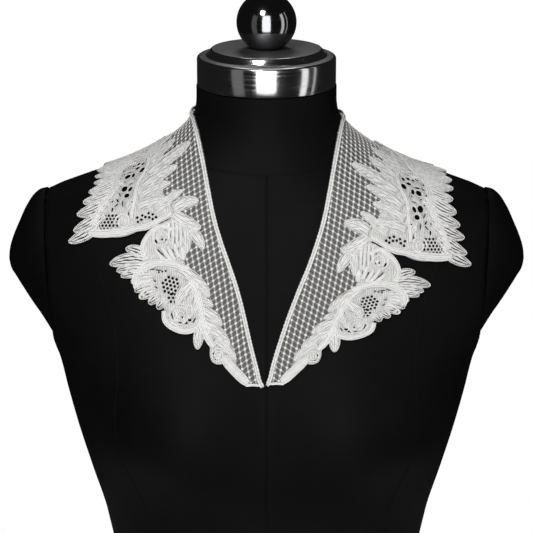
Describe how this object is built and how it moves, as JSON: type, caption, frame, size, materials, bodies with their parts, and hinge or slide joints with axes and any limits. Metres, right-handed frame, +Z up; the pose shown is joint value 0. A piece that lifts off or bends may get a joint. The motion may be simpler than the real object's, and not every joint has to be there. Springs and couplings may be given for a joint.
{
  "type": "lace collar on a limbless dress form",
  "caption": "Wide two-tier floral lace collar with a deep V front, laid over the shoulders of a limbless torso dress form with a polished neck cap and ball.",
  "frame": {"origin": "on the flat underside of the dress form, below the middle of its neck", "axes": "+Z up, front of the collar and form towards -Y, +X to the viewer's right as seen from the front"},
  "size_m": [0.4016, 0.2289, 0.6005],
  "materials": {
    "black_jersey": "matte knit jersey stretched over a hard form",
    "polished_metal": "polished",
    "ivory_lace": "cotton lace clothwork, matte",
    "fine_net": "fine dotted net",
    "neck_tape": "woven tape"
  },
  "bodies": {
    "root": {"form_body": "black_jersey", "arm_cap_left": "black_jersey", "arm_cap_right": "black_jersey", "neck_cap": "polished_metal", "finial_ball": "polished_metal", "net_left": "fine_net", "net_right": "fine_net", "neck_tape_left": "neck_tape", "neck_tape_right": "neck_tape", "shoulder_spray_left": "ivory_lace", "shoulder_spray_right": "ivory_lace", "front_spray_left": "ivory_lace", "front_spray_right": "ivory_lace", "back_spray_left": "ivory_lace", "back_spray_right": "ivory_lace"}
  },
  "joints": []
}
